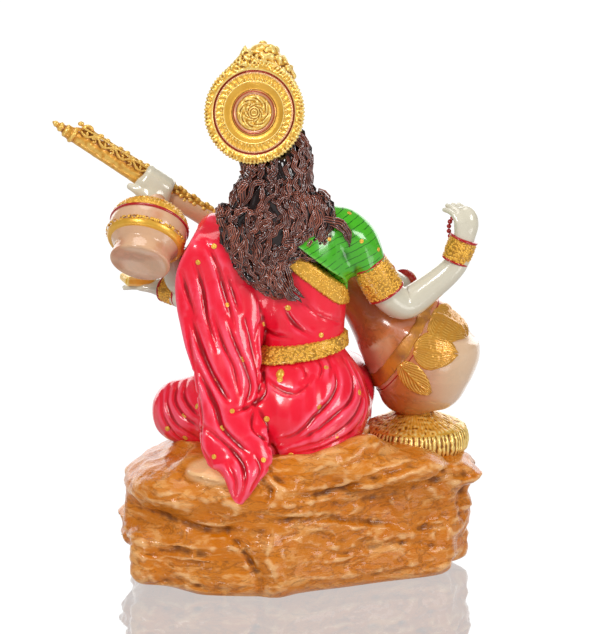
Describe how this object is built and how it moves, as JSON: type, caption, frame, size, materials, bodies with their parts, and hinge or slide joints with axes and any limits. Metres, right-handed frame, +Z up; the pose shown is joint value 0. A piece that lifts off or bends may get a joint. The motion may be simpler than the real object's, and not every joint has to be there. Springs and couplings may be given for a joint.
{
  "type": "saraswati figure",
  "caption": "Seated four-armed musician figure on a rock, holding a long-necked stringed instrument, with a disc behind the crown.",
  "frame": {"origin": "on the flat underside of the rock, near the middle of its plan", "axes": "+Z up, +Y towards the figure's back, +X towards the figure's left"},
  "size_m": [0.1934, 0.1296, 0.2441],
  "materials": {
    "painted_resin": "cast resin, hand painted under gloss lacquer",
    "sari_paint": "red enamel under gloss lacquer",
    "rock_paint": "ochre wash over cast stone texture, lacquered",
    "gold_paint": "gold bronze paint",
    "skin_paint": "off-white enamel",
    "hair_paint": "dark brown enamel",
    "gourd_paint": "marbled tan wash under gloss lacquer",
    "blouse_paint": "green enamel",
    "trim_paint": "dark red enamel line"
  },
  "bodies": {
    "root": {"saraswati_figure": "painted_resin"}
  },
  "joints": []
}
